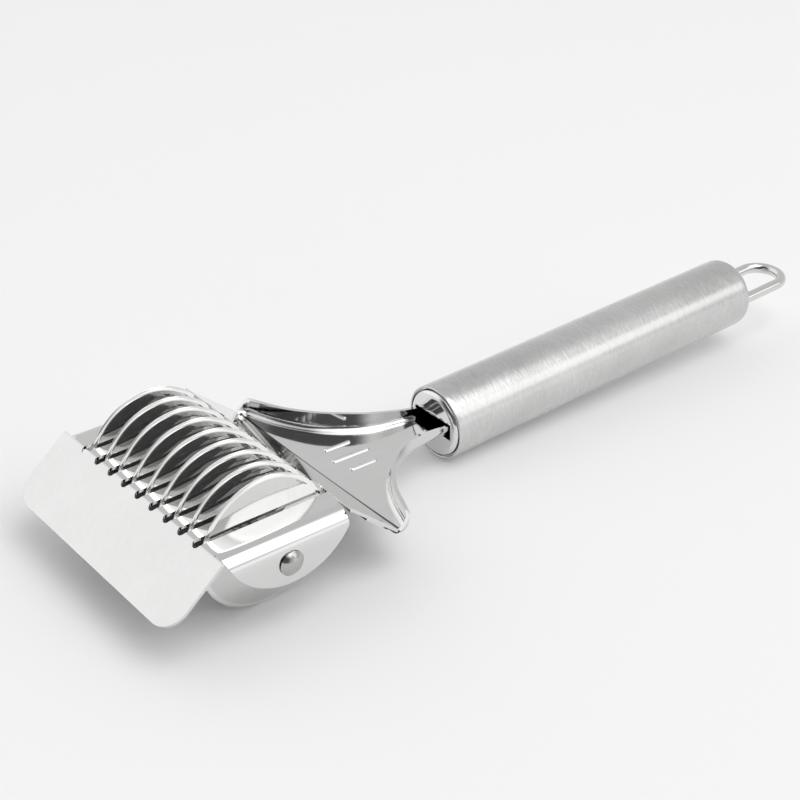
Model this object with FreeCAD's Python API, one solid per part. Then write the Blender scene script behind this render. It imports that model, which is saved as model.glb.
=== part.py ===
import FreeCAD, Part
import math
import os

from FreeCAD import Vector

# Hand roller cutter: nine bevelled discs turn on a riveted pin inside a folded sheet
# housing; a stamped neck carries the housing on a tubular handle with a wire loop.
# Millimetres. +X runs along the pin, +Y from the cutting head to the loop, +Z is up.
# Everything is laid out from the pin's centre and moved to the row's origin at the end.

# roller
DISC_COUNT = 9
DISC_RADIUS = 18.5
DISC_THICKNESS = 0.8
DISC_PITCH = 6.5
BEVEL_WIDTH = 1.05
EDGE_THICKNESS = 0.12
SPACER_RADIUS = 4.0
END_SPACER_RADIUS = 3.0
RUNNING_CLEARANCE = 0.05
END_PLAY = 0.2

# pin
PIN_RADIUS = 2.0
PIN_HOLE_CLEARANCE = 0.02
HEAD_RADIUS = 3.4
HEAD_RIM = 0.35
HEAD_HEIGHT = 2.0

# housing
SHEET = 0.8
BEND_RADIUS = 1.3
EAR_BEND_RADIUS = 5.0
PLATE_RISE = 7.5
PLATE_FRONT = -19.1
PLATE_REAR = 18.4
EAR_HALF_SPAN = 37.5
FLAP_HALF_WIDTH = 37.0
FRONT_SLOPE = 40.7
FRONT_LENGTH = 20.7
FRONT_CORNER = 7.0
REAR_SLOPE = 39.6
REAR_LENGTH = 19.8
REAR_EDGE_BOW = 0.9
REAR_WAIST = 35.2
RELIEF = 0.4
EAR_ARC_RADIUS = 19.8
EAR_ARC_Y = 0.6
EAR_ARC_RISE = 6.3
EAR_FRONT = -18.3
EAR_REAR = 17.7
SLOT_WIDTH = 2.7
SLOT_FRONT = -20.1
SLOT_REAR = 18.95
SLOT_END_ROUNDING = 0.99
SLOT_CUT_BELOW = 4.0
SLOT_CUT_ABOVE = 2.0

# neck
NECK_SHEET = 1.0
FLANGE_LENGTH = 9.0
FLANGE_HALF_WIDTH = 33.0
FLANGE_SETBACK = 0.9
NECK_BEND = 1.2
NECK_SLOPE = 1.5
NECK_FILLET = 2.7
BEAD_LINE_HALF_WIDTH = 0.8
BEAD_LINE_RISE = 0.5
BEAD_LINE_OVERLAP = 0.01
# stiffening beads: place across the neck, first centre behind the crease, length between centres
BEAD_LINES = [(-5.9, 9.1, 7.5), (0.0, 7.5, 11.0), (5.9, 9.1, 7.5)]
TANG_END = 56.0
# half width of the neck's outline against the distance behind the crease
NECK_OUTLINE = [
    (34.4, 4.9),
    (32.3, 5.7),
    (29.2, 6.9),
    (26.3, 8.2),
    (23.6, 9.7),
    (21.0, 11.4),
    (16.7, 15.0),
    (12.6, 20.2),
    (10.2, 24.5),
    (8.7, 29.0),
    (7.7, 35.0),
    (7.1, 42.5),
]
NECK_SHOULDER = Vector(-0.93, 0.367, 0)
NECK_TIP_HALF_WIDTH = 37.3
NECK_TIP_RADIUS = 3.4
# wall height above the neck's floor against the distance behind the crease
WALL_TOP = [
    (-1.0, 0.4),
    (0.2, 0.4),
    (3.8, 4.05),
    (6.2, 4.5),
    (9.2, 4.85),
    (12.0, 5.15),
    (16.0, 5.3),
    (20.5, 5.25),
    (25.0, 4.85),
    (30.0, 4.3),
    (35.0, 3.5),
    (40.0, 2.8),
    (46.0, 2.6),
    (60.0, 2.6),
]

# handle
COLLAR_Y = 77.0
COLLAR_Z = -7.3
HANDLE_RISE = 2.17
TUBE_RADIUS = 11.0
TUBE_WALL = 0.6
TUBE_STRAIGHT = 120.5
DOME_LENGTH = 4.0
DOME_FULLNESS = 3.0
TUBE_LIP = 0.3

# cap
CAP_SHEET = 0.8
CAP_DEPTH = 5.0
CAP_SHOULDER = 1.7
CAP_RIM_RADIUS = 10.0
CAP_PROUD = 0.9
GAP_DEPTH = 1.4
CAP_CROWN = 0.15
MOUTH_HALF_WIDTH = 7.7
MOUTH_LOW = -1.9
MOUTH_HIGH = 3.1

# hanging loop
WIRE_RADIUS = 1.7
LOOP_HALF_WIDTH = 6.8
LOOP_REACH = 22.7
LOOP_DROP = -0.7
LOOP_TAIL = 12.0

X = Vector(1, 0, 0)
Y = Vector(0, 1, 0)
Z = Vector(0, 0, 1)
ORIGIN = Vector(0, 0, 0)
MARGIN = 6.0


def plane(origin, u, v):
    """Return a function that turns two coordinates into a point of the plane."""
    return lambda a, b: origin + u * a + v * b


def rounded_edges(points, radii, closed):
    """Join points with lines, rounding each corner to its radius."""
    count = len(points)
    corners = range(count) if closed else range(1, count - 1)
    entry = list(points)
    leave = list(points)
    edges = []
    for i in corners:
        before = (points[i - 1] - points[i]).normalize()
        after = (points[(i + 1) % count] - points[i]).normalize()
        half = before.getAngle(after) / 2.0
        if radii[i] <= 0:
            continue
        reach = radii[i] / math.tan(half)
        entry[i] = points[i] + before * reach
        leave[i] = points[i] + after * reach
        to_centre = (before + after).normalize()
        centre = points[i] + to_centre * (radii[i] / math.sin(half))
        edges.append(Part.Arc(entry[i], centre - to_centre * radii[i], leave[i]).toShape())
    for i in range(count if closed else count - 1):
        j = (i + 1) % count
        if (leave[i] - entry[j]).Length > 1e-6:
            edges.append(Part.makeLine(leave[i], entry[j]))
    return edges


def face_of(edges):
    return Part.Face(Part.Wire(Part.__sortEdges__(edges)))


def outline(points, radii):
    return face_of(rounded_edges(points, radii, True))


def slab(face, direction, low, high):
    """Extrude a face along direction from low to high."""
    body = face.copy()
    body.translate(direction * low)
    return body.extrude(direction * (high - low))


def offset_line(points, distance):
    """Move an open 2-D line sideways, to its right, with mitred corners."""
    moved = []
    for i, (u, v) in enumerate(points):
        steps = []
        for a, b in ((i - 1, i), (i, i + 1)):
            if a < 0 or b >= len(points):
                continue
            du = points[b][0] - points[a][0]
            dv = points[b][1] - points[a][1]
            size = math.hypot(du, dv)
            steps.append((dv / size, -du / size))
        nu = sum(s[0] for s in steps)
        nv = sum(s[1] for s in steps)
        size = math.hypot(nu, nv)
        nu, nv = nu / size, nv / size
        stretch = distance / (nu * steps[0][0] + nv * steps[0][1])
        moved.append((u + nu * stretch, v + nv * stretch))
    return moved


def folded_sheet(points, thickness, radius, inner_radius, place):
    """Cross-section of a sheet that follows points; the sheet lies to their right."""
    inner = offset_line(points, thickness)
    outer_points = [place(a, b) for a, b in points]
    inner_points = [place(a, b) for a, b in inner]
    edges = rounded_edges(outer_points, [radius] * len(points), False)
    edges += rounded_edges(inner_points, [inner_radius] * len(points), False)
    edges.append(Part.makeLine(outer_points[0], inner_points[0]))
    edges.append(Part.makeLine(outer_points[-1], inner_points[-1]))
    return face_of(edges)


def outside(shape_face, direction, frame_points):
    """A block with the given face missing from it, for trimming a sheet to an outline."""
    block = slab(outline(frame_points, [0] * len(frame_points)), direction, -MARGIN, MARGIN)
    return block.cut(slab(shape_face, direction, -2 * MARGIN, 2 * MARGIN))


def turned(points_or_edges):
    """Turn a closed section around the X axis."""
    return face_of(points_or_edges).revolve(ORIGIN, X, 360)


def front_flap_trim():
    slope = math.radians(FRONT_SLOPE)
    down = Vector(0, -math.cos(slope), -math.sin(slope))
    at = plane(Vector(0, PLATE_FRONT, PLATE_RISE), X, down)
    w, length, r = FLAP_HALF_WIDTH, FRONT_LENGTH, FRONT_CORNER
    shape = outline([at(-w, -4), at(w, -4), at(w, length), at(-w, length)], [0, 0, r, r])
    wide, far = w + MARGIN, length + MARGIN
    frame = [at(-wide, 2.0), at(wide, 2.0), at(wide, far), at(-wide, far)]
    return outside(shape, X.cross(down), frame)


def rear_flap_trim():
    slope = math.radians(REAR_SLOPE)
    down = Vector(0, math.cos(slope), -math.sin(slope))
    at = plane(Vector(0, PLATE_REAR, PLATE_RISE), X, down)
    w, waist, length = FLAP_HALF_WIDTH, REAR_WAIST, REAR_LENGTH
    start = at(-waist, -3)
    edges = [
        Part.makeLine(start, at(waist, -3)),
        Part.makeLine(at(waist, -3), at(waist, 2)),
        Part.makeLine(at(waist, 2), at(w, length)),
        Part.Arc(at(w, length), at(0, length - REAR_EDGE_BOW), at(-w, length)).toShape(),
        Part.makeLine(at(-w, length), at(-waist, 2)),
        Part.makeLine(at(-waist, 2), start),
    ]
    wide, far = w + MARGIN, length + MARGIN
    frame = [at(-wide, 0.6), at(wide, 0.6), at(wide, far), at(-wide, far)]
    return outside(face_of(edges), X.cross(down), frame)


def flap_strip():
    """Front flap, top plate and rear flap as one folded strip."""
    front = math.radians(FRONT_SLOPE)
    rear = math.radians(REAR_SLOPE)
    path = [
        (PLATE_FRONT - FRONT_LENGTH * math.cos(front), PLATE_RISE - FRONT_LENGTH * math.sin(front)),
        (PLATE_FRONT, PLATE_RISE),
        (PLATE_REAR, PLATE_RISE),
        (PLATE_REAR + REAR_LENGTH * math.cos(rear), PLATE_RISE - REAR_LENGTH * math.sin(rear)),
    ]
    section = folded_sheet(path, SHEET, BEND_RADIUS, BEND_RADIUS - SHEET, plane(ORIGIN, Y, Z))
    strip = slab(section, X, -FLAP_HALF_WIDTH, FLAP_HALF_WIDTH)
    strip = strip.cut(front_flap_trim()).cut(rear_flap_trim())
    inset = EAR_HALF_SPAN - EAR_BEND_RADIUS - 0.1
    for side in (-1, 1):
        notch = Part.makeBox(MARGIN, EAR_REAR - EAR_FRONT + 2 * RELIEF, 3 * BEND_RADIUS)
        notch.translate(Vector(0, EAR_FRONT - RELIEF, PLATE_RISE - 2 * BEND_RADIUS))
        notch.translate(X * (inset if side > 0 else -inset - MARGIN))
        strip = strip.cut(notch)
    return strip


def ear_channel():
    """Top plate with the two side ears folded down and rounded off."""
    half = EAR_HALF_SPAN
    low = PLATE_RISE - EAR_ARC_RADIUS
    path = [(-half, low), (-half, PLATE_RISE), (half, PLATE_RISE), (half, low)]
    inner_radius = EAR_BEND_RADIUS - SHEET
    section = folded_sheet(path, SHEET, EAR_BEND_RADIUS, inner_radius, plane(ORIGIN, X, Z))
    channel = slab(section, Y, EAR_FRONT, EAR_REAR)
    at = plane(ORIGIN, Y, Z)
    centre_z = PLATE_RISE + EAR_ARC_RISE

    def arc_z(y):
        return centre_z - math.sqrt(EAR_ARC_RADIUS ** 2 - (y - EAR_ARC_Y) ** 2)

    top = PLATE_RISE + 1.0
    front_low = at(EAR_FRONT, arc_z(EAR_FRONT))
    rear_low = at(EAR_REAR, arc_z(EAR_REAR))
    edges = [
        Part.makeLine(at(EAR_FRONT, top), at(EAR_REAR, top)),
        Part.makeLine(at(EAR_REAR, top), rear_low),
        Part.Arc(rear_low, at(EAR_ARC_Y, centre_z - EAR_ARC_RADIUS), front_low).toShape(),
        Part.makeLine(front_low, at(EAR_FRONT, top)),
    ]
    return channel.common(slab(face_of(edges), X, -half - 1, half + 1))


def make_housing():
    body = flap_strip().fuse(ear_channel()).removeSplitter()
    at = plane(Vector(0, 0, PLATE_RISE), X, Y)
    half = SLOT_WIDTH / 2.0
    for x in disc_places():
        low, high = x - half, x + half
        corners = [at(low, SLOT_FRONT), at(high, SLOT_FRONT), at(high, SLOT_REAR), at(low, SLOT_REAR)]
        slot = outline(corners, [half * SLOT_END_ROUNDING] * len(corners))
        body = body.cut(slab(slot, Z, -SLOT_CUT_BELOW, SLOT_CUT_ABOVE))
    start = X * (-EAR_HALF_SPAN - MARGIN)
    hole = Part.makeCylinder(PIN_RADIUS + PIN_HOLE_CLEARANCE, 2 * (EAR_HALF_SPAN + MARGIN), start, X)
    return body.cut(hole).removeSplitter()


def disc_places():
    first = -(DISC_COUNT - 1) / 2.0 * DISC_PITCH
    return [first + i * DISC_PITCH for i in range(DISC_COUNT)]


def make_disc(x):
    half, edge = DISC_THICKNESS / 2.0, EDGE_THICKNESS / 2.0
    bore = PIN_RADIUS + RUNNING_CLEARANCE
    at = plane(X * x, X, Z)
    section = [
        at(-half, bore),
        at(half, bore),
        at(half, DISC_RADIUS - BEVEL_WIDTH),
        at(edge, DISC_RADIUS),
        at(-edge, DISC_RADIUS),
        at(-half, DISC_RADIUS - BEVEL_WIDTH),
    ]
    return turned(rounded_edges(section, [0] * len(section), True))


def make_spacer(start, end, radius):
    bore = PIN_RADIUS + RUNNING_CLEARANCE
    at = plane(ORIGIN, X, Z)
    section = [at(start, bore), at(end, bore), at(end, radius), at(start, radius)]
    return turned(rounded_edges(section, [0] * 4, True))


def make_pin():
    """Plain pin with a low spherical rivet head on each end."""
    at = plane(ORIGIN, X, Z)
    body = Part.makeCylinder(PIN_RADIUS, 2 * EAR_HALF_SPAN, X * -EAR_HALF_SPAN, X)
    rim = EAR_HALF_SPAN + HEAD_RIM
    crown = EAR_HALF_SPAN + HEAD_HEIGHT
    rise = HEAD_HEIGHT - HEAD_RIM
    sphere = (rise ** 2 + HEAD_RADIUS ** 2) / (2 * rise)
    half_angle = math.asin(HEAD_RADIUS / sphere) / 2.0
    middle = at(crown - sphere + sphere * math.cos(half_angle), sphere * math.sin(half_angle))
    edges = [
        Part.makeLine(at(EAR_HALF_SPAN, 0), at(EAR_HALF_SPAN, HEAD_RADIUS)),
        Part.makeLine(at(EAR_HALF_SPAN, HEAD_RADIUS), at(rim, HEAD_RADIUS)),
        Part.Arc(at(rim, HEAD_RADIUS), middle, at(crown, 0)).toShape(),
        Part.makeLine(at(crown, 0), at(EAR_HALF_SPAN, 0)),
    ]
    head = turned(edges)
    return body.fuse([head, head.mirror(ORIGIN, X)]).removeSplitter()


def flap_underside_end():
    slope = math.radians(REAR_SLOPE)
    along = Vector(0, math.cos(slope), -math.sin(slope))
    inward = Vector(0, -math.sin(slope), -math.cos(slope))
    end = Vector(0, PLATE_REAR, PLATE_RISE) + along * REAR_LENGTH + inward * SHEET
    return end, along


def neck_plan(inset, front, back):
    """Plan of the neck's dish from y front to y back, with its sides moved inwards by inset."""
    curve = Part.BSplineCurve()
    points = [Vector(x, y, 0) for x, y in NECK_OUTLINE]
    ends = dict(InitialTangent=NECK_SHOULDER, FinalTangent=Y)
    curve.interpolate(points, **ends)
    moved = []
    for point in points:
        along = curve.tangent(curve.parameter(point))[0]
        moved.append(point + Vector(-along.y, along.x, 0) * inset)
    curve.interpolate(moved, **ends)

    side = NECK_TIP_HALF_WIDTH - inset
    radius = NECK_TIP_RADIUS - inset
    turn = NECK_SHOULDER.getAngle(Y)
    start = moved[0]
    run = (start.x - side) / NECK_SHOULDER.x
    corner = start - NECK_SHOULDER * run
    reach = radius * math.tan(turn / 2.0)
    enter = corner - Y * reach
    leave = corner + NECK_SHOULDER * reach
    centre = enter - X * radius
    middle = centre + (corner - centre).normalize() * radius
    half = [
        Part.makeLine(Vector(side, front, 0), enter),
        Part.Arc(enter, middle, leave).toShape(),
        Part.makeLine(leave, start),
        curve.toShape(),
        Part.makeLine(moved[-1], Vector(moved[-1].x, back, 0)),
    ]
    mirrored = [edge.mirror(ORIGIN, X) for edge in half]
    ends = []
    for x, y in ((side, front), (moved[-1].x, back)):
        ends.append(Part.makeLine(Vector(x, y, 0), Vector(-x, y, 0)))
    return face_of(half + mirrored + ends)


def round_bottom(block, z, radius):
    """Round the edges of a block that lie at height z, except the straight front and back ones."""
    chosen = []
    for edge in block.Edges:
        box = edge.BoundBox
        if abs(box.ZMin - z) < 1e-4 and abs(box.ZMax - z) < 1e-4 and box.YLength > 1e-3:
            chosen.append(edge)
    return block.makeFillet(radius, chosen)


def wall_trim():
    """Block above the walls' top line."""
    at = plane(ORIGIN, Y, Z)
    line = [at(y, z) for y, z in WALL_TOP]
    curve = Part.BSplineCurve()
    curve.interpolate(line[2:-1])
    top = 20.0
    edges = [
        Part.makeLine(line[0], line[1]),
        Part.makeLine(line[1], line[2]),
        curve.toShape(),
        Part.makeLine(line[-2], line[-1]),
        Part.makeLine(line[-1], at(line[-1].y, top)),
        Part.makeLine(at(line[-1].y, top), at(line[0].y, top)),
        Part.makeLine(at(line[0].y, top), line[0]),
    ]
    return slab(face_of(edges), X, -50, 50)


def make_neck():
    """Stamped neck: flange under the rear flap, dished fan and channel into the handle."""
    outer = slab(neck_plan(0, 0, TANG_END), Z, -NECK_SHEET, 9.0)
    outer = round_bottom(outer, -NECK_SHEET, NECK_FILLET)
    inner = slab(neck_plan(NECK_SHEET, -MARGIN, TANG_END + MARGIN), Z, 0.0, 12.0)
    inner = round_bottom(inner, 0.0, NECK_FILLET - NECK_SHEET)
    dish = outer.cut(inner).cut(wall_trim())
    for x, start, length in BEAD_LINES:
        dish = dish.cut(bead_line(x, start, length, -NECK_SHEET))
        dish = dish.fuse(bead_line(x, start, length, 0.0))
    dish.rotate(ORIGIN, X, -NECK_SLOPE)
    end, along = flap_underside_end()
    crease = end + along * FLANGE_SETBACK
    dish.translate(crease)

    slope = math.radians(NECK_SLOPE)
    path = [
        crease - along * FLANGE_LENGTH,
        crease,
        crease + Vector(0, math.cos(slope), -math.sin(slope)) * 6.0,
    ]
    flat = [(p.y, p.z) for p in path]
    section = folded_sheet(flat, NECK_SHEET, NECK_BEND, NECK_BEND + NECK_SHEET, plane(ORIGIN, Y, Z))
    flange = slab(section, X, -FLANGE_HALF_WIDTH, FLANGE_HALF_WIDTH)
    return dish.fuse(flange).removeSplitter()


def bead_line(x, start, length, base):
    """Round-ended low ridge that rises from height base, as pressed up into the neck's floor."""
    half, rise = BEAD_LINE_HALF_WIDTH, BEAD_LINE_RISE
    radius = (half ** 2 + rise ** 2) / (2 * rise)
    front = Vector(x, start, base + rise - radius)
    body = Part.makeCylinder(radius, length, front, Y)
    for centre in (front, front + Y * length):
        body = body.fuse(Part.makeSphere(radius, centre))
    corner = Vector(x - 2 * radius, start - 2 * radius, base - BEAD_LINE_OVERLAP)
    above = Part.makeBox(4 * radius, length + 4 * radius, 2 * rise, corner)
    return body.common(above)


def on_handle(shape):
    shape.rotate(ORIGIN, X, HANDLE_RISE)
    shape.translate(Vector(0, COLLAR_Y, COLLAR_Z))
    return shape


def dome_curve(radius, length, start):
    """Flattened quarter ellipse from the straight tube to its closed end."""
    at = plane(ORIGIN, X, Y)
    steps = 10
    points = []
    for i in range(steps + 1):
        angle = math.pi / 2 * i / steps
        across = max(math.cos(angle), 0.0) ** (2 / DOME_FULLNESS) if i < steps else 0.0
        points.append(at(radius * across, start + length * math.sin(angle) ** (2 / DOME_FULLNESS)))
    curve = Part.BSplineCurve()
    curve.interpolate(points, InitialTangent=Y, FinalTangent=-X)
    return curve.toShape()


def make_tube():
    at = plane(ORIGIN, X, Y)
    bore = TUBE_RADIUS - TUBE_WALL
    lip = TUBE_RADIUS - TUBE_LIP
    edges = [
        Part.makeLine(at(bore, 0), at(lip, 0)),
        Part.Arc(at(lip, 0), at(lip + TUBE_LIP * math.sqrt(0.5), TUBE_LIP * (1 - math.sqrt(0.5))),
                 at(TUBE_RADIUS, TUBE_LIP)).toShape(),
        Part.makeLine(at(TUBE_RADIUS, TUBE_LIP), at(TUBE_RADIUS, TUBE_STRAIGHT)),
        dome_curve(TUBE_RADIUS, DOME_LENGTH, TUBE_STRAIGHT),
        Part.makeLine(at(0, TUBE_STRAIGHT + DOME_LENGTH), at(0, TUBE_STRAIGHT + DOME_LENGTH - TUBE_WALL)),
        dome_curve(bore, DOME_LENGTH - TUBE_WALL, TUBE_STRAIGHT),
        Part.makeLine(at(bore, TUBE_STRAIGHT), at(bore, 0)),
    ]
    body = face_of(edges).revolve(ORIGIN, Y, 360)
    for side in (-1, 1):
        foot = Vector(side * LOOP_HALF_WIDTH, TUBE_STRAIGHT, LOOP_DROP)
        body = body.cut(Part.makeCylinder(WIRE_RADIUS, 2 * DOME_LENGTH, foot, Y))
    return on_handle(body)


def make_cap():
    """Shallow cup with a nearly flat face and a rounded shoulder, set in the tube's front end."""
    at = plane(ORIGIN, X, Y)
    bore = TUBE_RADIUS - TUBE_WALL
    inside = bore - CAP_SHEET
    foot = CAP_RIM_RADIUS - CAP_SHOULDER
    face = -CAP_PROUD
    diagonal = CAP_SHOULDER * math.sqrt(0.5)
    middle = at(foot + diagonal, face + CAP_SHOULDER - diagonal)
    side = at(CAP_RIM_RADIUS, face + CAP_SHOULDER)
    back = face + CAP_SHEET
    inner_foot = inside - CAP_SHOULDER
    inner_middle = at(inner_foot + diagonal, back + CAP_SHOULDER - diagonal)
    edges = [
        Part.makeLine(at(0, face - CAP_CROWN), at(foot, face)),
        Part.Arc(at(foot, face), middle, side).toShape(),
        Part.makeLine(side, at(CAP_RIM_RADIUS, GAP_DEPTH)),
        Part.makeLine(at(CAP_RIM_RADIUS, GAP_DEPTH), at(bore, GAP_DEPTH)),
        Part.makeLine(at(bore, GAP_DEPTH), at(bore, CAP_DEPTH)),
        Part.makeLine(at(bore, CAP_DEPTH), at(inside, CAP_DEPTH)),
        Part.makeLine(at(inside, CAP_DEPTH), at(inside, back + CAP_SHOULDER)),
        Part.Arc(at(inside, back + CAP_SHOULDER), inner_middle, at(inner_foot, back)).toShape(),
        Part.makeLine(at(inner_foot, back), at(0, back)),
        Part.makeLine(at(0, back), at(0, face - CAP_CROWN)),
    ]
    body = face_of(edges).revolve(ORIGIN, Y, 360)
    corner = Vector(-MOUTH_HALF_WIDTH, -CAP_DEPTH / 2, MOUTH_LOW)
    mouth = Part.makeBox(2 * MOUTH_HALF_WIDTH, CAP_DEPTH, MOUTH_HIGH - MOUTH_LOW, corner)
    return on_handle(body.cut(mouth))


def make_loop():
    bend_y = TUBE_STRAIGHT + DOME_LENGTH + LOOP_REACH - LOOP_HALF_WIDTH
    start = TUBE_STRAIGHT + DOME_LENGTH - LOOP_TAIL
    body = None
    for side in (-1, 1):
        foot = Vector(side * LOOP_HALF_WIDTH, start, LOOP_DROP)
        leg = Part.makeCylinder(WIRE_RADIUS, bend_y - start, foot, Y)
        body = leg if body is None else body.fuse(leg)
    centre = Vector(0, bend_y, LOOP_DROP)
    section = Part.Face(Part.Wire(Part.makeCircle(WIRE_RADIUS, centre + X * LOOP_HALF_WIDTH, Y)))
    bend = section.revolve(centre, Z, 180)
    return on_handle(body.fuse(bend).removeSplitter())


def make_parts():
    parts = {"housing": make_housing(), "axle_pin": make_pin()}
    places = disc_places()
    half = DISC_THICKNESS / 2.0
    for i, x in enumerate(places):
        parts["cutter_disc_%d" % (i + 1)] = make_disc(x)
    for i in range(DISC_COUNT - 1):
        parts["spacer_%d" % (i + 1)] = make_spacer(places[i] + half, places[i + 1] - half, SPACER_RADIUS)
    inner_ear = EAR_HALF_SPAN - SHEET - END_PLAY
    parts["end_spacer_left"] = make_spacer(-inner_ear, places[0] - half, END_SPACER_RADIUS)
    parts["end_spacer_right"] = make_spacer(places[-1] + half, inner_ear, END_SPACER_RADIUS)
    parts["neck_bracket"] = make_neck()
    parts["handle_tube"] = make_tube()
    parts["handle_cap"] = make_cap()
    parts["hang_loop"] = make_loop()
    return parts


def main():
    os.makedirs("parts", exist_ok=True)
    parts = make_parts()
    box = Part.makeCompound(list(parts.values())).optimalBoundingBox(False)
    shift = Vector(0, -(box.YMin + box.YMax) / 2.0, DISC_RADIUS)
    for name, shape in parts.items():
        shape.translate(shift)
        shape.exportStep("parts/%s.step" % name)
        size = shape.optimalBoundingBox(False)
        print("%-18s %7.2f %7.2f %7.2f" % (name, size.XLength, size.YLength, size.ZLength))
    print("pin axis at y %.4f z %.4f" % (shift.y, shift.z))


main()
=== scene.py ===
import math

import bmesh
import bpy
from mathutils import Matrix, Vector


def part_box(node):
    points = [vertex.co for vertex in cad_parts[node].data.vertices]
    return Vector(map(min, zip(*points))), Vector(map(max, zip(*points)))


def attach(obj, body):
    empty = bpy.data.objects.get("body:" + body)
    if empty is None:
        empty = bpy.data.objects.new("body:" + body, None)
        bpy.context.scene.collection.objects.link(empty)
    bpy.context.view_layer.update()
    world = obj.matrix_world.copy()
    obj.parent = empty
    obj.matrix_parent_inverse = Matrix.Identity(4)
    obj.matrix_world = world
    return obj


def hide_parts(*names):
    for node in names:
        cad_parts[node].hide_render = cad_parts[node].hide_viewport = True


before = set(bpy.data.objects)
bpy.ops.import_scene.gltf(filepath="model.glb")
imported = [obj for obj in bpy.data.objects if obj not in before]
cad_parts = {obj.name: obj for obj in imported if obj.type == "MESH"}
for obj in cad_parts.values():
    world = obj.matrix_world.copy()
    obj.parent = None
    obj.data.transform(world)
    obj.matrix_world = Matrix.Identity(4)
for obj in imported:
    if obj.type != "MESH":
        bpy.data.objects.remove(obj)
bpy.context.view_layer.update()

MM = 0.001

# ---------------------------------------------------------------- places read from the frame
PIN_LOW, PIN_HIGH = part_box("axle_pin")
AXLE = (PIN_LOW + PIN_HIGH) / 2
COLLAR_BEHIND_AXLE = 77.0
COLLAR_BELOW_AXLE = 7.3
HANDLE_RISE = math.radians(2.17)
COLLAR = Vector((0, AXLE.y + COLLAR_BEHIND_AXLE * MM, AXLE.z - COLLAR_BELOW_AXLE * MM))
ON_HANDLE = Matrix.Translation(COLLAR) @ Matrix.Rotation(HANDLE_RISE, 4, "X") @ Matrix.Scale(MM, 4)


# ---------------------------------------------------------------- mesh helpers
def finish_mesh(name, bm, materials, sharp_deg=30.0):
    """Turn a bmesh into a smooth-shaded object whose edges over sharp_deg stay crisp."""
    bmesh.ops.recalc_face_normals(bm, faces=bm.faces)
    limit = math.radians(sharp_deg)
    for edge in bm.edges:
        edge.smooth = len(edge.link_faces) == 2 and edge.calc_face_angle(0.0) < limit
    for face in bm.faces:
        face.smooth = True
    mesh = bpy.data.meshes.new(name)
    bm.to_mesh(mesh)
    bm.free()
    obj = bpy.data.objects.new(name, mesh)
    bpy.context.scene.collection.objects.link(obj)
    for material in materials:
        mesh.materials.append(material)
    return obj


def lathe(name, profile, place, materials, segments, closed=False, slots=None):
    """Revolve (axial, radius) points, in mm, around the local Y axis. A radius of 0 ends on the axis."""
    bm = bmesh.new()
    rings = []
    for along, radius in profile:
        if radius <= 0:
            rings.append([bm.verts.new(place @ Vector((0, along, 0)))])
            continue
        ring = []
        for i in range(segments):
            turn = 2 * math.pi * i / segments
            point = Vector((radius * math.sin(turn), along, radius * math.cos(turn)))
            ring.append(bm.verts.new(place @ point))
        rings.append(ring)
    count = len(rings)
    for k in range(count if closed else count - 1):
        first, second = rings[k], rings[(k + 1) % count]
        for i in range(segments):
            j = (i + 1) % segments
            corners = [
                first[i % len(first)],
                first[j % len(first)],
                second[j % len(second)],
                second[i % len(second)],
            ]
            unique = list(dict.fromkeys(corners))
            if len(unique) < 3:
                continue
            face = bm.faces.new(unique)
            if slots:
                face.material_index = slots[k]
    return finish_mesh(name, bm, materials)


def along_pin(offset_mm=0.0):
    """Local Y to the row's X, in mm, centred on the pin."""
    turn = Matrix.Rotation(-math.pi / 2, 4, "Z")
    return Matrix.Translation(AXLE + Vector((offset_mm * MM, 0, 0))) @ turn @ Matrix.Scale(MM, 4)


def sweep_tube(name, path, radius, materials, sides=40):
    """Round wire with flat ends, along a path in a plane that rises with the handle, in the row's frame."""
    bm = bmesh.new()
    rings = []
    up = Vector((0, -math.sin(HANDLE_RISE), math.cos(HANDLE_RISE)))
    for k, point in enumerate(path):
        ahead = path[min(k + 1, len(path) - 1)]
        behind = path[max(k - 1, 0)]
        tangent = (ahead - behind).normalized()
        side = tangent.cross(up).normalized()
        ring = []
        for i in range(sides):
            turn = 2 * math.pi * i / sides
            reach = side * (radius * math.cos(turn)) + up * (radius * math.sin(turn))
            ring.append(bm.verts.new(point + reach))
        rings.append(ring)
    for first, second in zip(rings, rings[1:]):
        for i in range(sides):
            j = (i + 1) % sides
            bm.faces.new([first[i], first[j], second[j], second[i]])
    bm.faces.new(rings[0])
    bm.faces.new(list(reversed(rings[-1])))
    return finish_mesh(name, bm, materials)


MERGE_DISTANCE = 1e-6
FLAT_WITHIN_DEG = 0.3
CREASE_OVER_DEG = 32.0
SOFTEN_OVER_DEG = 50.0
SOFT_EDGE = 0.12


def clean_copy(name, node, materials, is_pressed=None):
    """A copy of a CAD node's shape with merged flats, softened edges and face-weighted normals."""
    bm = bmesh.new()
    bm.from_mesh(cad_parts[node].data)
    bmesh.ops.remove_doubles(bm, verts=bm.verts, dist=MERGE_DISTANCE)
    flat = math.radians(FLAT_WITHIN_DEG)
    bmesh.ops.dissolve_limit(bm, angle_limit=flat, verts=bm.verts, edges=bm.edges)
    for face in bm.faces:
        face.material_index = 1 if is_pressed and is_pressed(face) else 0
    obj = finish_mesh(name, bm, materials, CREASE_OVER_DEG)
    bevel = obj.modifiers.new("edge", "BEVEL")
    bevel.width = SOFT_EDGE * MM
    bevel.segments = 2
    bevel.limit_method = "ANGLE"
    bevel.angle_limit = math.radians(SOFTEN_OVER_DEG)
    bevel.use_clamp_overlap = True
    bevel.harden_normals = False
    weighted = obj.modifiers.new("normals", "WEIGHTED_NORMAL")
    weighted.keep_sharp = True
    weighted.weight = 100
    return obj


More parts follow.
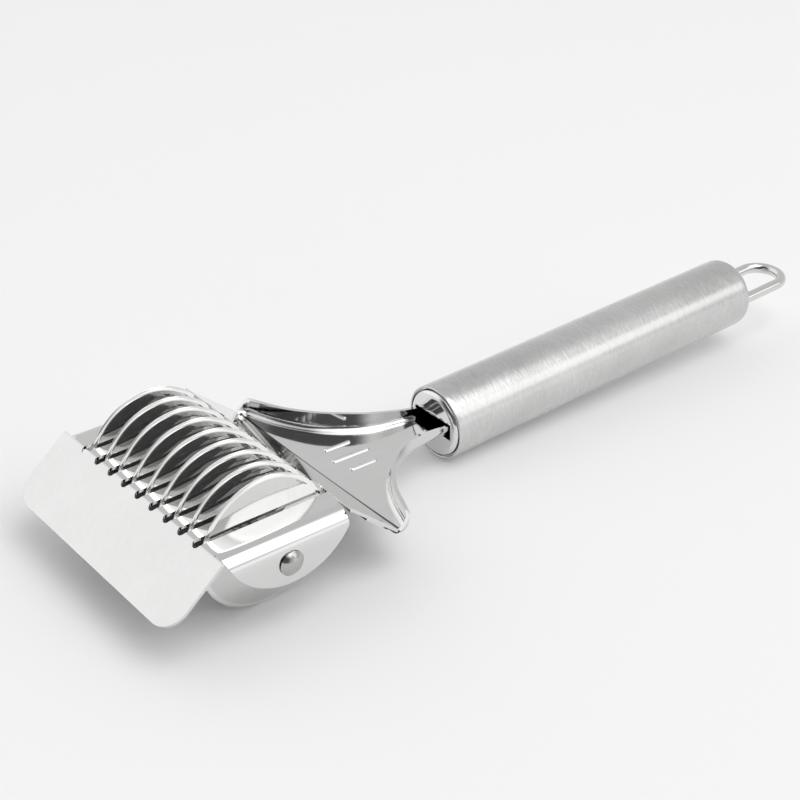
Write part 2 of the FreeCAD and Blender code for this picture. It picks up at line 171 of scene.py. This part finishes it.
def apply_modifiers(obj):
    """Replace an object's mesh by the result of its modifiers."""
    graph = bpy.context.evaluated_depsgraph_get()
    mesh = bpy.data.meshes.new_from_object(obj.evaluated_get(graph))
    obj.modifiers.clear()
    obj.data = mesh


# ---------------------------------------------------------------- materials
GRAIN_DETAIL = 4.0
GRAIN_ROUGHNESS = 0.6
BLOTCH_SCALE = 60.0
BLOTCH_DETAIL = 3.0
NOISE_LOW = 0.3
NOISE_HIGH = 0.7
SCRATCH_DEPTH = 0.0002
WAVE_SCALE = 28.0
WAVE_DEPTH = 0.001

# Painted shade: the dark line of shadow in the joint between the rear flap's bowed edge and the neck's floor,
# painted into the neck's colour.
JOINT_HALF_WIDTH = 37.0 * MM
JOINT_BOW = 0.7 * MM
JOINT_Y = 34.75 * MM
JOINT_FADE = 0.25 * MM
# How dark the painted shade in the joint is.
JOINT_PAINTED_SHADE = 0.12
JOINT_TOP = AXLE.z - 5.9 * MM


def add_node(tree, kind, inputs=(), **settings):
    """A new shader node with its settings and the values of its sockets."""
    made = tree.nodes.new(kind)
    for key, value in settings.items():
        setattr(made, key, value)
    for key, value in dict(inputs).items():
        made.inputs[key].default_value = value
    return made


def steel(name, colour, rough_low, rough_high, stretch, grain=900.0, bump=0.02, wave=0.0, tint=0.06,
          metallic=1.0, painted_joint_shade=False):
    """Metal with fine scratches stretched along one axis, soft blotches, optional slow waviness and an
    optional painted shade line at the neck's joint.
    """
    material = bpy.data.materials.new(name)
    material.use_nodes = True
    tree = material.node_tree
    tree.nodes.clear()
    link = tree.links.new

    out = add_node(tree, "ShaderNodeOutputMaterial")
    shader = add_node(tree, "ShaderNodeBsdfPrincipled", {"Metallic": metallic})
    link(shader.outputs["BSDF"], out.inputs["Surface"])

    coords = add_node(tree, "ShaderNodeTexCoord")
    mapping = add_node(tree, "ShaderNodeMapping", {"Scale": stretch})
    link(coords.outputs["Object"], mapping.inputs["Vector"])
    fine = {"Scale": grain, "Detail": GRAIN_DETAIL, "Roughness": GRAIN_ROUGHNESS}
    grain_noise = add_node(tree, "ShaderNodeTexNoise", fine)
    link(mapping.outputs["Vector"], grain_noise.inputs["Vector"])
    blotch = add_node(tree, "ShaderNodeTexNoise", {"Scale": BLOTCH_SCALE, "Detail": BLOTCH_DETAIL})
    link(coords.outputs["Object"], blotch.inputs["Vector"])

    half_grain = add_node(tree, "ShaderNodeMath", {1: 0.5}, operation="MULTIPLY")
    half_blotch = add_node(tree, "ShaderNodeMath", {1: 0.5}, operation="MULTIPLY")
    mix = add_node(tree, "ShaderNodeMath", operation="ADD")
    link(grain_noise.outputs["Fac"], half_grain.inputs[0])
    link(blotch.outputs["Fac"], half_blotch.inputs[0])
    link(half_grain.outputs[0], mix.inputs[0])
    link(half_blotch.outputs[0], mix.inputs[1])

    spread = {"From Min": NOISE_LOW, "From Max": NOISE_HIGH, "To Min": rough_low, "To Max": rough_high}
    rough = add_node(tree, "ShaderNodeMapRange", spread)
    link(mix.outputs[0], rough.inputs["Value"])
    link(rough.outputs["Result"], shader.inputs["Roughness"])

    ramp = add_node(tree, "ShaderNodeValToRGB")
    low_stop, high_stop = ramp.color_ramp.elements
    low_stop.position = NOISE_LOW
    low_stop.color = tuple(c * (1.0 - tint) for c in colour) + (1.0,)
    high_stop.position = NOISE_HIGH
    high_stop.color = tuple(colour) + (1.0,)
    link(mix.outputs[0], ramp.inputs["Fac"])
    colour_out = ramp.outputs["Color"]
    # Painted shade: the neck's colour darkens along the joint under the rear flap's edge.
    if painted_joint_shade:
        colour_out = paint_joint_shade(tree, coords, colour_out)
    link(colour_out, shader.inputs["Base Color"])

    scratch = add_node(tree, "ShaderNodeBump", {"Strength": bump, "Distance": SCRATCH_DEPTH})
    link(grain_noise.outputs["Fac"], scratch.inputs["Height"])
    last = scratch
    if wave:
        slow = add_node(tree, "ShaderNodeTexNoise", {"Scale": WAVE_SCALE, "Detail": 0.0})
        link(coords.outputs["Object"], slow.inputs["Vector"])
        ripple = add_node(tree, "ShaderNodeBump", {"Strength": wave, "Distance": WAVE_DEPTH})
        link(slow.outputs["Fac"], ripple.inputs["Height"])
        link(scratch.outputs["Normal"], ripple.inputs["Normal"])
        last = ripple
    link(last.outputs["Normal"], shader.inputs["Normal"])
    return material


def paint_joint_shade(tree, coords, colour_out):
    """Paint shade into a colour along the thin line where the rear flap's bowed edge meets the neck's floor,
    where the crevice lies in shadow.
    """
    link = tree.links.new

    def math_node(operation, first, second):
        made = add_node(tree, "ShaderNodeMath", operation=operation)
        for socket, value in zip(made.inputs, (first, second)):
            if isinstance(value, float):
                socket.default_value = value
            else:
                link(value, socket)
        return made.outputs[0]

    split = add_node(tree, "ShaderNodeSeparateXYZ")
    link(coords.outputs["Object"], split.inputs["Vector"])
    squared = math_node("MULTIPLY", split.outputs["X"], split.outputs["X"])
    bow = math_node("MULTIPLY", squared, JOINT_BOW / JOINT_HALF_WIDTH ** 2)
    edge = math_node("ADD", bow, AXLE.y + JOINT_Y)
    beyond = math_node("SUBTRACT", split.outputs["Y"], edge)
    spread = {"From Min": 0.0, "From Max": JOINT_FADE, "To Min": JOINT_PAINTED_SHADE, "To Max": 1.0}
    fade = add_node(tree, "ShaderNodeMapRange", spread, interpolation_type="SMOOTHSTEP")
    link(beyond, fade.inputs["Value"])
    above = math_node("GREATER_THAN", split.outputs["Z"], JOINT_TOP)
    kept = math_node("MAXIMUM", fade.outputs["Result"], above)
    dimmed = add_node(tree, "ShaderNodeVectorMath", operation="SCALE")
    link(colour_out, dimmed.inputs[0])
    link(kept, dimmed.inputs["Scale"])
    return dimmed.outputs["Vector"]


# Each as (name, colour, least and greatest roughness, stretch of the scratches, their scale, bump, wave).
POLISHED = steel("polished_sheet", (0.765, 0.765, 0.76), 0.02, 0.045, (1.0, 0.05, 1.0), 700.0, 0.008, 0.010)
# The neck's colour carries painted shade along the joint line under the rear flap's edge.
POLISHED_NECK = steel("polished_neck", (0.77, 0.77, 0.765), 0.06, 0.10, (1.0, 0.08, 1.0), 700.0, 0.012, 0.02,
                      painted_joint_shade=True)
PRESSED = steel("pressed_ridge", (0.86, 0.86, 0.855), 0.20, 0.26, (1.0, 1.0, 1.0), 900.0, 0.02)
POLISHED_CAP = steel("polished_cap", (0.80, 0.80, 0.795), 0.05, 0.09, (1.0, 0.08, 1.0), 700.0, 0.012, 0.02)
DISC_FACE = steel("disc_face", (0.74, 0.74, 0.735), 0.004, 0.012, (1.0, 1.0, 0.06), 900.0, 0.0, metallic=0.94)
# The ground bevel's real finish is rougher; its colour, brighter than the faces', is partly a painted
# highlight.
DISC_BEVEL_PAINTED_HIGHLIGHT = steel("disc_bevel", (0.95, 0.95, 0.94), 0.05, 0.09, (1.0, 1.0, 1.0), 1500.0, 0.01)
SPACER = steel("spacer_steel", (0.55, 0.55, 0.54), 0.2, 0.35, (0.1, 1.0, 1.0), 900.0, 0.03)
PIN = steel("pin_steel", (0.50, 0.495, 0.485), 0.12, 0.22, (1.0, 1.0, 1.0), 500.0, 0.05, 0.04)
SATIN = steel("satin_tube", (0.70, 0.70, 0.695), 0.20, 0.30, (0.3, 1.0, 0.3), 1300.0, 0.16, tint=0.22)
WIRE = steel("wire_steel", (0.72, 0.72, 0.71), 0.08, 0.18, (1.0, 0.1, 1.0), 900.0, 0.02, 0.03)

# ---------------------------------------------------------------- roller
BORE = 2.05
BORE_CHAMFER = 0.1
DISC_RADIUS = 18.5
DISC_HALF = 0.4
DISC_PITCH = 6.5
DISC_COUNT = 9
DISC_FACE_RINGS = (6.0, 12.0)
DISC_SEGMENTS = 256
BEVEL_WIDTH = 1.05
BEVEL_EASE_OUT = 0.05
BEVEL_EASE_IN = 0.01
EDGE_HALF = 0.06
EDGE_ROUNDING = 0.03
EAR_INNER = 36.5
SPACER_RADIUS = 4.0
END_SPACER_RADIUS = 3.0
SPACER_CHAMFER = 0.15
SPACER_SEGMENTS = 64


def disc(index):
    """A flat disc with a chamfered bore and a ground bevel on both sides, with its edge blunted slightly; the
    bevels' colour is brighter than the faces', partly a painted highlight.
    """
    offset = (index - (DISC_COUNT + 1) / 2) * DISC_PITCH
    shoulder = DISC_RADIUS - BEVEL_WIDTH
    outward = [(DISC_HALF, BORE + BORE_CHAMFER)]
    outward += [(DISC_HALF, ring) for ring in DISC_FACE_RINGS]
    outward += [
        (DISC_HALF, shoulder - BEVEL_EASE_OUT),
        (DISC_HALF - BEVEL_EASE_IN, shoulder),
        (EDGE_HALF, DISC_RADIUS - EDGE_ROUNDING),
        (EDGE_HALF * 0.5, DISC_RADIUS),
    ]
    profile = [(-side, radius) for side, radius in outward] + list(reversed(outward))
    profile += [(DISC_HALF - BORE_CHAMFER, BORE), (-DISC_HALF + BORE_CHAMFER, BORE)]
    # Material numbers along the profile: face, then both bevels and the edge, then face and bore.
    slots = [0] * 3 + [1] * 7 + [0] * 6
    name = "cutter_disc_%d" % index
    materials = [DISC_FACE, DISC_BEVEL_PAINTED_HIGHLIGHT]
    obj = lathe(name + "_ground", profile, along_pin(offset), materials, DISC_SEGMENTS, True, slots)
    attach(obj, "roller")
    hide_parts(name)


def spacer(node, start, end, radius):
    """A short tube on the pin, with chamfered outer edges."""
    inner = radius - SPACER_CHAMFER
    profile = [
        (start, BORE),
        (end, BORE),
        (end, inner),
        (end - SPACER_CHAMFER, radius),
        (start + SPACER_CHAMFER, radius),
        (start, inner),
    ]
    obj = lathe(node + "_turned", profile, along_pin(), [SPACER], SPACER_SEGMENTS, True)
    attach(obj, "roller")
    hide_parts(node)


for number in range(1, DISC_COUNT + 1):
    disc(number)
for number in range(1, DISC_COUNT):
    left = (number - (DISC_COUNT + 1) / 2) * DISC_PITCH + DISC_HALF
    spacer("spacer_%d" % number, left, left + DISC_PITCH - 2 * DISC_HALF, SPACER_RADIUS)
OUTER_FACE = (DISC_COUNT - 1) / 2 * DISC_PITCH + DISC_HALF
spacer("end_spacer_left", -EAR_INNER, -OUTER_FACE, END_SPACER_RADIUS)
spacer("end_spacer_right", OUTER_FACE, EAR_INNER, END_SPACER_RADIUS)

# ---------------------------------------------------------------- pin with riveted heads
PIN_RADIUS = 2.0
PIN_SHAFT_REACH = 37.4
PIN_SEGMENTS = 96
RIVET_EAR = 37.5
RIVET_HEIGHT = 2.0
RIVET_RADIUS = 3.4
RIVET_RIM = 0.35
RIVET_STEPS = 14
# The head's underside: distances out from the ear and in from the head's full radius.
RIVET_UNDERSIDE = [(0.0, 0.85), (0.22, 0.28), (0.32, 0.05), (0.40, 0.0)]


def rivet_half(side):
    """One head's profile, from under its rim to the crown of its dome, on the given side of the tool."""
    rise = RIVET_HEIGHT - RIVET_RIM
    sphere = (rise * rise + RIVET_RADIUS * RIVET_RADIUS) / (2 * rise)
    reach = math.asin(RIVET_RADIUS / sphere)
    centre = RIVET_EAR + RIVET_HEIGHT - sphere
    points = [(RIVET_EAR + out, RIVET_RADIUS - inward) for out, inward in RIVET_UNDERSIDE]
    for step in range(1, RIVET_STEPS):
        turn = reach * (1 - step / RIVET_STEPS)
        points.append((centre + sphere * math.cos(turn), sphere * math.sin(turn)))
    points.append((centre + sphere, 0))
    return [(side * along, radius) for along, radius in points]


pin_profile = list(reversed(rivet_half(-1)))
pin_profile += [(-PIN_SHAFT_REACH, PIN_RADIUS), (PIN_SHAFT_REACH, PIN_RADIUS)]
pin_profile += rivet_half(1)
pin = lathe("axle_pin_riveted", pin_profile, along_pin(), [PIN], PIN_SEGMENTS)
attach(pin, "frame")
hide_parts("axle_pin")

# ---------------------------------------------------------------- folded sheet and stamped neck
housing = clean_copy("housing_folded", "housing", [POLISHED])
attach(housing, "frame")
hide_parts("housing")

# Ridges as (place across, start behind the crease, length).
RIDGES = [(-5.9, 9.1, 7.5), (0.0, 7.5, 11.0), (5.9, 9.1, 7.5)]
RIDGE_HALF_WIDTH = 0.85
RIDGE_END_MARGIN = 1.0
RIDGE_LOWEST = -8.3
RIDGE_LARGEST_FACE = 4.0
CREASE_Y = 33.84


def on_ridge(face):
    """True for the small curved faces of the three ridges pressed up in the neck's floor."""
    place = (face.calc_center_median() - AXLE) / MM
    if face.calc_area() > RIDGE_LARGEST_FACE * MM * MM or place.z < RIDGE_LOWEST:
        return False
    behind = place.y - CREASE_Y
    for across, start, length in RIDGES:
        in_length = start - RIDGE_END_MARGIN < behind < start + length + RIDGE_END_MARGIN
        if in_length and abs(place.x - across) < RIDGE_HALF_WIDTH:
            return True
    return False


neck = clean_copy("neck_stamped", "neck_bracket", [POLISHED_NECK, PRESSED], on_ridge)
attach(neck, "frame")
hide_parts("neck_bracket")

# ---------------------------------------------------------------- handle
TUBE_RADIUS = 11.0
TUBE_BORE = 10.4
TUBE_STRAIGHT = 120.5
TUBE_RINGS = (2.0, 20.0, 60.0, 100.0, 118.0)
TUBE_SEGMENTS = 256
MOUTH_DEPTH = 6.0
MOUTH_CHAMFER = 0.15
LIP = 0.3
DOME = 4.0
DOME_FULLNESS = 3.0
DOME_STEPS = 32

tube_profile = [(MOUTH_DEPTH, TUBE_BORE), (MOUTH_CHAMFER, TUBE_BORE), (0.0, TUBE_BORE + MOUTH_CHAMFER)]
for turn in (math.radians(angle) for angle in (0, 30, 60, 90)):
    tube_profile.append((LIP - LIP * math.cos(turn), TUBE_RADIUS - LIP + LIP * math.sin(turn)))
tube_profile += [(along, TUBE_RADIUS) for along in TUBE_RINGS]
for step in range(DOME_STEPS):
    turn = math.pi / 2 * step / DOME_STEPS
    radius = TUBE_RADIUS * math.cos(turn) ** (2 / DOME_FULLNESS)
    rise = DOME * math.sin(turn) ** (2 / DOME_FULLNESS)
    tube_profile.append((TUBE_STRAIGHT + rise, radius))
tube_profile.append((TUBE_STRAIGHT + DOME, 0))
tube = lathe("handle_tube_brushed", tube_profile, ON_HANDLE, [SATIN], TUBE_SEGMENTS)
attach(tube, "frame")
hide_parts("handle_tube")

CAP_SHEET = 0.8
CAP_DEPTH = 5.0
CAP_PROUD = 0.9
CAP_SHOULDER = 1.7
CAP_RIM_RADIUS = 10.0
CAP_CROWN = 0.15
CAP_CLEARANCE = 0.02
CAP_FACE_RINGS = (0, 2.1, 4.2, 6.3)
CAP_FACE_MARGIN = 0.3
CAP_SEGMENTS = 192
GAP_DEPTH = 1.4
OPENING_HALF_WIDTH = 7.7
OPENING_LOW = -1.9
OPENING_HIGH = 3.1
OPENING_CUT = 4.0

cap_foot = CAP_RIM_RADIUS - CAP_SHOULDER
cap_inside = TUBE_BORE - CAP_SHEET
cap_back = CAP_SHEET - CAP_PROUD
cap_profile = []
for radius in CAP_FACE_RINGS + (cap_foot - CAP_FACE_MARGIN,):
    cap_profile.append((-CAP_PROUD - CAP_CROWN * (1 - radius / cap_foot), radius))
for turn in (math.radians(angle) for angle in range(0, 91, 9)):
    along = CAP_SHOULDER * (1 - math.cos(turn)) - CAP_PROUD
    cap_profile.append((along, cap_foot + CAP_SHOULDER * math.sin(turn)))
cap_profile += [
    (GAP_DEPTH, CAP_RIM_RADIUS),
    (GAP_DEPTH, TUBE_BORE - CAP_CLEARANCE),
    (CAP_DEPTH, TUBE_BORE - CAP_CLEARANCE),
    (CAP_DEPTH, cap_inside),
    (cap_back + CAP_SHOULDER, cap_inside),
    (cap_back, cap_inside - CAP_SHOULDER),
    (cap_back, 0),
]
cap = lathe("handle_cap_polished", cap_profile, ON_HANDLE, [POLISHED_CAP], CAP_SEGMENTS)
cutter_mesh = bmesh.new()
bmesh.ops.create_cube(cutter_mesh, size=1.0)
opening_size = Vector((2 * OPENING_HALF_WIDTH, OPENING_CUT, OPENING_HIGH - OPENING_LOW))
opening_centre = Vector((0, 0, (OPENING_LOW + OPENING_HIGH) / 2))
for vert in cutter_mesh.verts:
    vert.co = ON_HANDLE @ (opening_centre + vert.co * opening_size)
cutter = finish_mesh("cap_cutter", cutter_mesh, [])
cut = cap.modifiers.new("mouth", "BOOLEAN")
cut.object = cutter
cut.solver = "EXACT"
apply_modifiers(cap)
bpy.data.objects.remove(cutter)
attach(cap, "frame")
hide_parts("handle_cap")

# ---------------------------------------------------------------- hanging loop
WIRE_RADIUS = 1.7
LOOP_HALF = 6.8
LOOP_DROP = -0.7
LOOP_REACH = 22.7
LOOP_TAIL = 12.0
LOOP_TAIL_TRIM = 0.1
LEG_STEPS = 8
BEND_STEPS = 64

bend_y = TUBE_STRAIGHT + DOME + LOOP_REACH - LOOP_HALF
start_y = TUBE_STRAIGHT + DOME - LOOP_TAIL + LOOP_TAIL_TRIM
leg = [start_y + (bend_y - start_y) * step / LEG_STEPS for step in range(LEG_STEPS)]
loop_path = [Vector((LOOP_HALF, along, LOOP_DROP)) for along in leg]
for step in range(BEND_STEPS + 1):
    turn = math.pi * step / BEND_STEPS
    loop_path.append(Vector((LOOP_HALF * math.cos(turn), bend_y + LOOP_HALF * math.sin(turn), LOOP_DROP)))
loop_path += [Vector((-LOOP_HALF, along, LOOP_DROP)) for along in reversed(leg)]
loop = sweep_tube("hang_loop_wire", [ON_HANDLE @ point for point in loop_path], WIRE_RADIUS * MM, [WIRE])
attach(loop, "frame")
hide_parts("hang_loop")

# ---------------------------------------------------------------- floor
FLOOR_HALF = 40.0
FLOOR_LEVEL = -0.0001
# Painted light: the floor glows faintly, lifting its shadows and brightening its reflections in the metal.
FLOOR_PAINTED_GLOW = 0.085
FLOOR_ROUGHNESS = 0.8
FLOOR_SPECULAR = 0.1
FLOOR_BLOTCH_SCALE = 3.0
FLOOR_DARKER = 0.82
FLOOR_LIGHTER = 0.84


def floor_material():
    """Pale matt paper with very faint blotches and a faint painted glow that lifts its shadows."""
    material = bpy.data.materials.new("studio_floor")
    material.use_nodes = True
    tree = material.node_tree
    shader = tree.nodes["Principled BSDF"]
    shader.inputs["Roughness"].default_value = FLOOR_ROUGHNESS
    shader.inputs["Specular IOR Level"].default_value = FLOOR_SPECULAR
    shader.inputs["Emission Color"].default_value = (1.0, 1.0, 1.0, 1.0)
    shader.inputs["Emission Strength"].default_value = FLOOR_PAINTED_GLOW
    noise = add_node(tree, "ShaderNodeTexNoise", {"Scale": FLOOR_BLOTCH_SCALE})
    ramp = add_node(tree, "ShaderNodeValToRGB")
    for stop, level in zip(ramp.color_ramp.elements, (FLOOR_DARKER, FLOOR_LIGHTER)):
        stop.color = (level, level, level, 1)
    tree.links.new(noise.outputs["Fac"], ramp.inputs["Fac"])
    tree.links.new(ramp.outputs["Color"], shader.inputs["Base Color"])
    return material


floor_mesh = bmesh.new()
floor_corners = []
for side_x, side_y in ((-1, -1), (1, -1), (1, 1), (-1, 1)):
    floor_corners.append(floor_mesh.verts.new((side_x * FLOOR_HALF, side_y * FLOOR_HALF, FLOOR_LEVEL)))
floor_mesh.faces.new(floor_corners)
floor = finish_mesh("studio_floor", floor_mesh, [floor_material()])

# ---------------------------------------------------------------- light
SKY_LEVEL = 0.76
SKY_ZENITH = 0.64
# Soft round panels as (direction, angle of the full part, angle of the edge, added level).
PANELS = [
    ((0.45, 0.05, 0.89), 18, 36, 1.25),
    ((0.66, 0.58, 0.48), 11, 13, 0.90),
    ((0.86, 0.50, 0.05), 8, 18, 0.4),
    ((-0.80, -0.35, 0.50), 18, 45, 0.40),
    ((0.50, -0.75, 0.40), 34, 58, -0.60),
]
SOFTBOX_PLACE = Vector((0.6, 0.25, 1.3))
SOFTBOX_SIZE = 0.9
SOFTBOX_POWER = 3.5

world = bpy.data.worlds.new("studio")
bpy.context.scene.world = world
world.use_nodes = True


def studio_sky(tree, level, zenith, panels):
    """Pale room that dims a little upwards, with soft round panels in it."""
    link = tree.links.new
    coords = add_node(tree, "ShaderNodeTexCoord")
    split = add_node(tree, "ShaderNodeSeparateXYZ")
    link(coords.outputs["Generated"], split.inputs["Vector"])
    room = {"From Min": 0.0, "From Max": 1.0, "To Min": level, "To Max": zenith}
    shade = add_node(tree, "ShaderNodeMapRange", room)
    link(split.outputs["Z"], shade.inputs["Value"])
    total = shade.outputs["Result"]
    for direction, inner, outer, added in panels:
        toward = Vector(direction).normalized()
        dot = add_node(tree, "ShaderNodeVectorMath", {1: toward}, operation="DOT_PRODUCT")
        link(coords.outputs["Generated"], dot.inputs[0])
        edge = add_node(tree, "ShaderNodeMapRange", {
            "From Min": math.cos(math.radians(outer)),
            "From Max": math.cos(math.radians(inner)),
            "To Min": 0.0,
            "To Max": added,
        }, interpolation_type="SMOOTHSTEP")
        link(dot.outputs["Value"], edge.inputs["Value"])
        add = add_node(tree, "ShaderNodeMath", operation="ADD")
        link(total, add.inputs[0])
        link(edge.outputs["Result"], add.inputs[1])
        total = add.outputs[0]
    background = tree.nodes["Background"]
    background.inputs["Color"].default_value = (1.0, 1.0, 1.0, 1.0)
    link(total, background.inputs["Strength"])


studio_sky(world.node_tree, SKY_LEVEL, SKY_ZENITH, PANELS)

softbox_data = bpy.data.lights.new("overhead", "AREA")
softbox_data.shape = "RECTANGLE"
softbox_data.size = SOFTBOX_SIZE
softbox_data.size_y = SOFTBOX_SIZE
softbox_data.energy = SOFTBOX_POWER
softbox = bpy.data.objects.new("overhead", softbox_data)
softbox.location = SOFTBOX_PLACE
softbox.rotation_euler = (-SOFTBOX_PLACE).normalized().to_track_quat("-Z", "Y").to_euler()
bpy.context.scene.collection.objects.link(softbox)

# ---------------------------------------------------------------- camera
CAMERA_PLACE = Vector((0.29367, -0.27676, 0.24864))
CAMERA_AZIMUTH = 50.141
CAMERA_ELEVATION = 30.494
CAMERA_ROLL = 1.380
SENSOR_WIDTH = 36.0
LENS = 72.557
NEAR_CLIP = 0.01

azimuth = math.radians(CAMERA_AZIMUTH)
elevation = math.radians(CAMERA_ELEVATION)
roll = math.radians(CAMERA_ROLL)
forward = Vector((
    -math.sin(azimuth) * math.cos(elevation),
    math.cos(azimuth) * math.cos(elevation),
    -math.sin(elevation),
))
right = Vector((math.cos(azimuth), math.sin(azimuth), 0))
upward = right.cross(forward)
right_rolled = math.cos(roll) * right + math.sin(roll) * upward
up_rolled = -math.sin(roll) * right + math.cos(roll) * upward

camera_data = bpy.data.cameras.new("camera")
camera_data.sensor_width = SENSOR_WIDTH
camera_data.lens = LENS
camera_data.clip_start = NEAR_CLIP
camera = bpy.data.objects.new("camera", camera_data)
camera.matrix_world = Matrix((
    (right_rolled.x, up_rolled.x, -forward.x, CAMERA_PLACE.x),
    (right_rolled.y, up_rolled.y, -forward.y, CAMERA_PLACE.y),
    (right_rolled.z, up_rolled.z, -forward.z, CAMERA_PLACE.z),
    (0, 0, 0, 1),
))
bpy.context.scene.collection.objects.link(camera)
bpy.context.scene.camera = camera
bpy.context.scene.view_settings.view_transform = "Standard"
